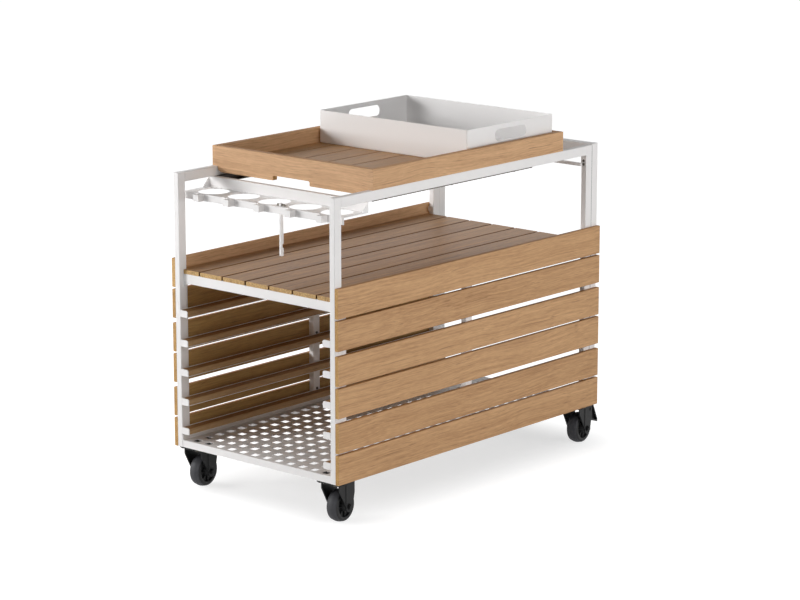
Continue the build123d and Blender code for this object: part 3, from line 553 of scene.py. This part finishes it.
def pick(piece, kind, wanted):
    """Selects the faces or the edges of an open piece that pass a test, and counts them."""
    bpy.ops.mesh.select_mode(type=kind)
    bpy.ops.mesh.select_all(action="DESELECT")
    shape = bmesh.from_edit_mesh(piece.data)
    found = 0
    for part in (shape.faces if kind == "FACE" else shape.edges):
        if wanted(part):
            part.select_set(True)
            found += 1
    bmesh.update_edit_mesh(piece.data)
    return found


def radius_of(part):
    """Mean distance from the Z axis of the corners of a face or an edge."""
    return sum(math.hypot(corner.co.x, corner.co.y) for corner in part.verts) / len(part.verts)


def level_of(part):
    """Mean height of the corners of a face or an edge."""
    return sum(corner.co.z for corner in part.verts) / len(part.verts)


def is_level(edge):
    """Whether both ends of an edge lie at one height."""
    return abs(edge.verts[0].co.z - edge.verts[1].co.z) < TINY


def close(piece, smooth_below=35.0):
    """Closes an open piece, with its normals outward and its gentle bends shaded smooth."""
    bpy.ops.mesh.select_all(action="SELECT")
    bpy.ops.mesh.normals_make_consistent(inside=False)
    bpy.ops.object.mode_set(mode="OBJECT")
    bpy.ops.object.shade_smooth_by_angle(angle=math.radians(smooth_below))


# %% [markdown]
# ## Finishing and placing
# The other functions give a closed piece its finishes, join pieces, repeat one in a row, and put
# a copy in its place on the cart. A copy has a mesh of its own, its place is written into that
# mesh, and it moves with a body.


# %% Helpers for finishing and placing
def dress(piece, *finishes):
    """Gives a closed piece its finishes; the first one covers it all."""
    piece.data.materials.clear()
    for finish in finishes:
        piece.data.materials.append(finish)


def put(piece, name, place, body):
    """A copy of a closed piece with its own mesh, in its place, that moves with a body."""
    bpy.ops.object.select_all(action="DESELECT")
    twin = piece.copy()
    twin.data = piece.data.copy()
    twin.name = name
    bpy.context.scene.collection.objects.link(twin)
    twin.matrix_world = place
    bpy.context.view_layer.objects.active = twin
    twin.select_set(True)
    bpy.ops.object.transform_apply(location=True, rotation=True, scale=True)
    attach(twin, body)
    return twin


def join(pieces):
    """One piece out of several closed ones; it keeps the name of the first."""
    bpy.ops.object.select_all(action="DESELECT")
    for piece in pieces:
        piece.select_set(True)
    bpy.context.view_layer.objects.active = pieces[0]
    bpy.ops.object.join()
    return pieces[0]


def row_of(piece, places):
    """The piece and its copies at the given places, joined into one."""
    twins = []
    for place in places:
        twin = piece.copy()
        twin.data = piece.data.copy()
        bpy.context.scene.collection.objects.link(twin)
        twin.matrix_world = place
        twins.append(twin)
    bpy.ops.object.select_all(action="DESELECT")
    for twin in twins:
        twin.select_set(True)
    bpy.context.view_layer.objects.active = twins[0]
    bpy.ops.object.transform_apply(location=True, rotation=True, scale=True)
    whole = join(twins)
    whole.name = piece.name + "_row"
    bpy.data.objects.remove(piece)
    return whole


def finish_as_one(pieces, name, finish):
    """Joins pieces of the frame that already lie in place, and gives them one finish."""
    whole = join(pieces)
    dress(whole, finish)
    put(whole, name, Matrix.Identity(4), "frame")
    bpy.data.objects.remove(whole)


# %% [markdown]
# ## Tyres
# The tyre is a solid ring of rubber, 100 mm across and 40 mm wide. Its tread is crowned, so that
# it turns easily on one spot, and its shoulders are well rounded. It starts as a cylinder. Both
# ends are inset by the thickness of the rubber and bridged, which opens the ring. A bevel rounds
# the shoulders. Then five cuts are made round the tread, and only after that each is drawn out to
# the arc of the crown, so that no cut starts from a bulge. The tread has rubbed grey on the floor
# and the walls are still black, so the faces that look sideways get a second finish.

# %% Tyre
WHEEL_R = 0.050
WHEEL_W = 0.040
TYRE_T = 0.011
CROWN = 0.0022          # rise of the tread in the middle
SHOULDER = 0.0086
CUT_STEP = 0.0042       # between the cuts round the tread
ROUND_STEPS = 96
TREAD_FROM = WHEEL_R - 1.1 * CROWN      # edges and faces of the tread lie outside this radius
SIDEWAYS = 0.75         # a face whose normal leans further to the side belongs to a wall

tyre = start("tyre", bpy.ops.mesh.primitive_cylinder_add, vertices=ROUND_STEPS,
             radius=WHEEL_R - CROWN, depth=WHEEL_W)
pick(tyre, "FACE", lambda face: abs(face.normal.z) > FLAT)
bpy.ops.mesh.inset(thickness=TYRE_T - CROWN)
bpy.ops.mesh.bridge_edge_loops()
pick(tyre, "EDGE", lambda edge: is_level(edge) and radius_of(edge) > TREAD_FROM)
bpy.ops.mesh.bevel(offset=SHOULDER, segments=8, profile=0.5)
tread_half = WHEEL_W / 2 - SHOULDER
cuts = [step * CUT_STEP for step in (-2, -1, 0, 1, 2)]
for height in cuts:
    pick(tyre, "FACE", lambda face: radius_of(face) > TREAD_FROM
         and abs(level_of(face)) < tread_half)
    bpy.ops.mesh.bisect(plane_co=(0, 0, height), plane_no=(0, 0, 1))
for height in cuts:
    grow = (WHEEL_R - CROWN * (height / tread_half) ** 2) / (WHEEL_R - CROWN)
    pick(tyre, "EDGE", lambda edge: radius_of(edge) > TREAD_FROM and is_level(edge)
         and abs(level_of(edge) - height) < TINY)
    bpy.ops.transform.resize(value=(grow, grow, 1.0), center_override=(0, 0, 0))
close(tyre, 50.0)
dress(tyre, tread_rubber, wall_rubber)
bpy.ops.object.mode_set(mode="EDIT")
walls = pick(tyre, "FACE", lambda face: abs(face.normal.z) > SIDEWAYS)
tyre.active_material_index = 1
bpy.ops.object.material_slot_assign()
bpy.ops.object.mode_set(mode="OBJECT")
print("tyre:", len(tyre.data.vertices), "corners,", walls, "faces of its walls",
      [round(size, 4) for size in tyre.dimensions])

# %% [markdown]
# ## Wheel cores
# The core is moulded nylon: a rim inside the tyre, a thick disc in the middle of its width, a
# barrel that turns on the axle and eight ribs on each side that hold the three together. It is
# pressed out of one cylinder: each end is inset to leave the rim, sunk to the disc, inset again
# and raised into the tapering barrel. One rib is a bevelled block, copied round the axle.

# %% Wheel core
CORE_R = WHEEL_R - TYRE_T
CORE_W = 0.0396
RIM_T = 0.005
DISC_HALF = 0.0110
BARREL_FOOT_R = 0.018
BARREL_END_R = 0.0125
BARREL_HALF = 0.029
RIBS = 8
RIB_T = 0.0028
RIB_H = 0.0062

core = start("wheel_core", bpy.ops.mesh.primitive_cylinder_add, vertices=ROUND_STEPS,
             radius=CORE_R, depth=CORE_W)
for side in (1, -1):
    pick(core, "FACE", lambda face: face.normal.z * side > FLAT)
    bpy.ops.mesh.inset(thickness=RIM_T)
    bpy.ops.mesh.extrude_region_move(
        TRANSFORM_OT_translate={"value": (0, 0, -side * (CORE_W / 2 - DISC_HALF))})
    bpy.ops.mesh.inset(thickness=CORE_R - RIM_T - BARREL_FOOT_R)
    bpy.ops.mesh.extrude_region_move(
        TRANSFORM_OT_translate={"value": (0, 0, side * (BARREL_HALF - DISC_HALF))})
    taper = BARREL_END_R / BARREL_FOOT_R
    bpy.ops.transform.resize(value=(taper, taper, 1.0),
                             center_override=(0, 0, side * BARREL_HALF))
pick(core, "EDGE", lambda edge: is_level(edge) and abs(abs(level_of(edge)) - CORE_W / 2) < TINY
     and radius_of(edge) < CORE_R - 0.75 * RIM_T)
bpy.ops.mesh.bevel(offset=0.0012, segments=3)
close(core)

rib = start("core_rib", bpy.ops.mesh.primitive_cube_add, size=1.0)
bpy.ops.mesh.select_all(action="SELECT")
bpy.ops.transform.resize(value=(CORE_R - RIM_T - BARREL_END_R, RIB_T, RIB_H),
                         center_override=(0, 0, 0))
bpy.ops.transform.translate(value=((CORE_R - RIM_T + BARREL_END_R) / 2, 0,
                                   DISC_HALF + RIB_H / 2))
pick(rib, "EDGE", lambda edge: all(corner.co.z > DISC_HALF + RIB_H / 2 for corner in edge.verts))
bpy.ops.mesh.bevel(offset=0.0008, segments=2)
close(rib)
ribs = row_of(rib, [Matrix.Rotation(turn * math.tau / RIBS, 4, "Z") @ flip
                    for turn in range(RIBS) for flip in
                    (Matrix.Identity(4), Matrix.Rotation(math.pi, 4, "X"))])
core = join([core, ribs])
dress(core, black_plastic)
print("wheel core:", len(core.data.vertices), "corners")

# %% [markdown]
# ## Axle nuts
# The axle is a bolt through both cheeks of the fork. It has a hexagon outside its round seat on
# each side. That is a cylinder of six sides: its outer end is inset a little, and the corners and
# the rim get a small bevel, as a forged nut has.

# %% Axle nut
NUT_R = 0.0072
NUT_H = 0.0032
nut = start("axle_nut", bpy.ops.mesh.primitive_cylinder_add, vertices=6, radius=NUT_R,
            depth=NUT_H)
pick(nut, "FACE", lambda face: face.normal.z > FLAT)
bpy.ops.mesh.inset(thickness=0.0008)
pick(nut, "EDGE", lambda edge: abs(edge.verts[0].co.z - edge.verts[1].co.z) > NUT_H / 2
     or (level_of(edge) > NUT_H / 2 - TINY and radius_of(edge) > NUT_R - TINY))
bpy.ops.mesh.bevel(offset=0.0005, segments=2)
close(nut, 30.0)
dress(nut, black_paint)
print("axle nut:", len(nut.data.vertices), "corners")

# %% [markdown]
# ## Pedal ribs
# The brake pedal is a plastic moulding with low ribs across its top, so that a wet shoe doesn't
# slip off. One rib is a narrow block with a rounded top, and the others are its copies.

# %% Pedal ribs
PEDAL_RIB = (0.0022, 0.022, 0.0012)
PEDAL_RIB_FROM = 0.061      # behind the swivel axis
PEDAL_RIB_STEP = 0.0058
PEDAL_RIB_COUNT = 5
pedal_rib = start("pedal_rib", bpy.ops.mesh.primitive_cube_add, size=1.0)
bpy.ops.mesh.select_all(action="SELECT")
bpy.ops.transform.resize(value=PEDAL_RIB, center_override=(0, 0, 0))
pick(pedal_rib, "EDGE", lambda edge: all(corner.co.z > 0 for corner in edge.verts))
bpy.ops.mesh.bevel(offset=0.0005, segments=3)
close(pedal_rib)
pedal_ribs = row_of(pedal_rib, [Matrix.Translation((PEDAL_RIB_FROM + step * PEDAL_RIB_STEP, 0, 0))
                                for step in range(PEDAL_RIB_COUNT)])
dress(pedal_ribs, black_plastic)
print("pedal ribs:", [round(size, 4) for size in pedal_ribs.dimensions])

# %% [markdown]
# ## Castors in place
# The four castors stand turned by six degrees. Each axle lies in the middle of the box of its
# tyre's solid, so the modelled wheel is put there, and the nuts outside the fork with it. The
# pedal's ribs are measured from the swivel axis, which is 28 mm ahead of the axle.

# %% Castors in place
TURN = math.radians(6.0)
TRAIL = 0.028
AXLE_Z = 0.050
CHEEK_OUT = 0.038           # outer end of the axle's round seat, from the middle of the fork
PEDAL_TOP_Z = 0.1175
BITE = 0.0002               # a small piece reaches this far into what it lies on
lying = Matrix.Rotation(math.pi / 2, 4, "X")

for corner in corners:
    low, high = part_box(f"castor_tyre_{corner}")
    axle_spot = (low + high) / 2
    turned = Matrix.Translation((axle_spot.x, axle_spot.y, AXLE_Z)) @ Matrix.Rotation(TURN, 4, "Z")
    own_tyre = put(tyre, f"tyre_{corner}", turned @ lying, f"wheel_{corner}")
    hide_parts(f"castor_tyre_{corner}")
    own_core = put(core, f"wheel_core_{corner}", turned @ lying, f"wheel_{corner}")
    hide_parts(f"castor_hub_{corner}")
    for side, word in ((-1, "front"), (1, "back")):
        seat = Matrix.Translation((0, side * (CHEEK_OUT + NUT_H / 2 - BITE), 0))
        out = Matrix.Rotation(-side * math.pi / 2, 4, "X")
        put(nut, f"axle_nut_{corner}_{word}", turned @ seat @ out, f"swivel_{corner}")
    if corner.startswith("far"):
        on_pedal = Matrix.Translation((-TRAIL, 0, PEDAL_TOP_Z - AXLE_Z + PEDAL_RIB[2] / 2 - BITE))
        put(pedal_ribs, f"pedal_ribs_{corner}", turned @ on_pedal, f"pedal_{corner}")
for model in (tyre, core, nut, pedal_ribs):
    bpy.data.objects.remove(model)

# %% [markdown]
# ## A screw
# The frame's screws are button heads of blackened steel with a hexagon socket. One head starts
# as a low cylinder whose upper rim is rounded by a bevel. The socket is cut with a six-sided
# cutter in a boolean modifier, which is then applied.

# %% Screw head
HEAD_R = 0.0045
HEAD_H = 0.0025
SOCKET_R = 0.0019
SOCKET_DEPTH = 0.0013
head = start("screw_head", bpy.ops.mesh.primitive_cylinder_add, vertices=40, radius=HEAD_R,
             depth=HEAD_H)
pick(head, "EDGE", lambda edge: level_of(edge) > HEAD_H / 2 - TINY)
bpy.ops.mesh.bevel(offset=0.0016, segments=5)
close(head)
cutter = start("socket_cutter", bpy.ops.mesh.primitive_cylinder_add, vertices=6,
               radius=SOCKET_R, depth=2 * SOCKET_DEPTH, location=(0, 0, HEAD_H / 2))
close(cutter)
socket = head.modifiers.new("socket", "BOOLEAN")
socket.object = cutter
socket.operation = "DIFFERENCE"
bpy.ops.object.select_all(action="DESELECT")
bpy.context.view_layer.objects.active = head
bpy.ops.object.modifier_apply(modifier="socket")
bpy.data.objects.remove(cutter)
print("screw head:", len(head.data.vertices), "corners")

# %% [markdown]
# ## Screws in place
# The heads sit under the top rails, on the inside of the mid posts and beside the far posts. Their
# places are read from the plain heads among the solids: corners that lie close together belong to
# one head, and the shortest side of its box is the way that the screw points.


# %% Screws in place
def screw_places():
    """Middles and outward directions of the plain screw heads."""
    groups = []
    for spot in [corner.co for corner in solids["frame_screws"].data.vertices]:
        for group in groups:
            if (group[0] - spot).length < 3 * HEAD_R:
                group.append(spot)
                break
        else:
            groups.append([spot])
    places = []
    for group in groups:
        low = Vector([min(spot[axis] for spot in group) for axis in range(3)])
        high = Vector([max(spot[axis] for spot in group) for axis in range(3)])
        size = high - low
        thin = min(range(3), key=lambda axis: size[axis])
        out = Vector((0, 0, 0))
        if thin == 2:
            out.z = -1
        elif thin == 1:
            out.y = -1 if low.y > 0 else 1
        else:
            out.x = -1
        places.append(((low + high) / 2, out))
    return places


found = screw_places()
print("screws:", len(found))
heads = row_of(head, [Matrix.Translation(spot) @ out.to_track_quat("Z", "Y").to_matrix().to_4x4()
                      for spot, out in found])
dress(heads, dark_steel)
screws = put(heads, "socket_screws", Matrix.Identity(4), "frame")
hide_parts("frame_screws")
bpy.data.objects.remove(heads)

# %% [markdown]
# ## Strips on the runners
# Each runner gets two thin pale strips, one along the outer edge of its top and one along the
# lower edge of its inner face. They are painted highlights, for the two bright lines that the light
# draws along these edges in the dark. A strip is plain sheet, so it is a stretched block with its
# edges eased. The tops and feet of the five runners are read from the corners of their solids: no
# other corner lies within 30 mm above a top or below a foot.


# %% Strips on the runners
def sheet_block(name, low, high, ease):
    """A block between two corners with small bevels, as cut and brushed sheet has."""
    block = start(name, bpy.ops.mesh.primitive_cube_add, size=1.0)
    bpy.ops.mesh.select_all(action="SELECT")
    bpy.ops.transform.resize(value=high - low, center_override=(0, 0, 0))
    bpy.ops.transform.translate(value=(low + high) / 2)
    bpy.ops.mesh.bevel(offset=ease, segments=2)
    close(block)
    return block


STRIP_T = 0.0016
STRIP_H = 0.0018
RUNNER_GAP = 0.03

low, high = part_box("runners_front")
rows = sorted({round(corner.co.z, 4) for corner in solids["runners_front"].data.vertices})
tops = [row for row in rows if not any(row < other < row + RUNNER_GAP for other in rows)]
feet = [row for row in rows if not any(row - RUNNER_GAP < other < row for other in rows)]
strips = []
for side in (1, -1):
    outer = sorted((side * low.y, side * (low.y + STRIP_T)))
    inner = sorted((side * (high.y - BITE), side * (high.y + STRIP_T / 2)))
    for top, foot in zip(tops, feet):
        strips.append(sheet_block("top_edge_highlight", Vector((low.x, outer[0], top - BITE)),
                                  Vector((high.x, outer[1], top + STRIP_H)), 0.0002))
        strips.append(sheet_block("foot_edge_highlight", Vector((low.x, inner[0], foot)),
                                  Vector((high.x, inner[1], foot + STRIP_H)), 0.0001))
print("strips:", len(strips), "on tops at", tops, "and feet at", feet)
finish_as_one(strips, "runner_edge_highlights", edge_highlight_trim)

# %% [markdown]
# ## Plates under the rails
# Dark steel plates lie flat beside the bars under the top rails, and reach inwards from them.
# Their dark is partly painted shade: under the tray they stand for a strip that lies in shadow.

# %% Plates under the rails
PLATE_W = 0.090
PLATE_T = 0.002
PLATE_UP = 0.0005           # above the underside of the bars
BAR_W = 0.016

low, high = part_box("glide_bars")
plate_foot = low.z + PLATE_UP
plates = []
for side in (1, -1):
    edge = sorted((side * (low.y + BAR_W - BITE), side * (low.y + BAR_W + PLATE_W)))
    plates.append(sheet_block("glide_plate", Vector((low.x, edge[0], plate_foot)),
                              Vector((high.x, edge[1], plate_foot + PLATE_T)), 0.0003))
print("plates:", len(plates), "at", round(plate_foot, 4))
finish_as_one(plates, "glide_plates_painted_shade", dark_steel)

# %% [markdown]
# ## Lines between the far posts
# Where a far post and a post of the portal stand side by side, the groove between their rounded
# corners lies in shade. A narrow dark filler in the groove paints that shade as a dark line.

# %% Lines between the far posts
GROOVE_W = 0.0014
GROOVE_IN = (0.0003, 0.0016)    # from the face of the posts to the filler's front and back
GROOVE_SHORT = 0.001            # the filler ends this far below the tops

low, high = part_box("far_posts")
painted_shade_fillers = []
for side in (1, -1):
    edge = sorted(side * (low.y + depth) for depth in GROOVE_IN)
    painted_shade_fillers.append(sheet_block("groove_painted_shade",
                               Vector((high.x - GROOVE_W / 2, edge[0], low.z)),
                               Vector((high.x + GROOVE_W / 2, edge[1], high.z - GROOVE_SHORT)),
                               0.0002))
print("joint lines:", len(painted_shade_fillers))
finish_as_one(painted_shade_fillers, "post_painted_shade_lines", black_plastic)

# %% [markdown]
# ## The picture
# The colours are shown as they are, without a film look.

# %% Finish
bpy.context.scene.view_settings.view_transform = "Standard"
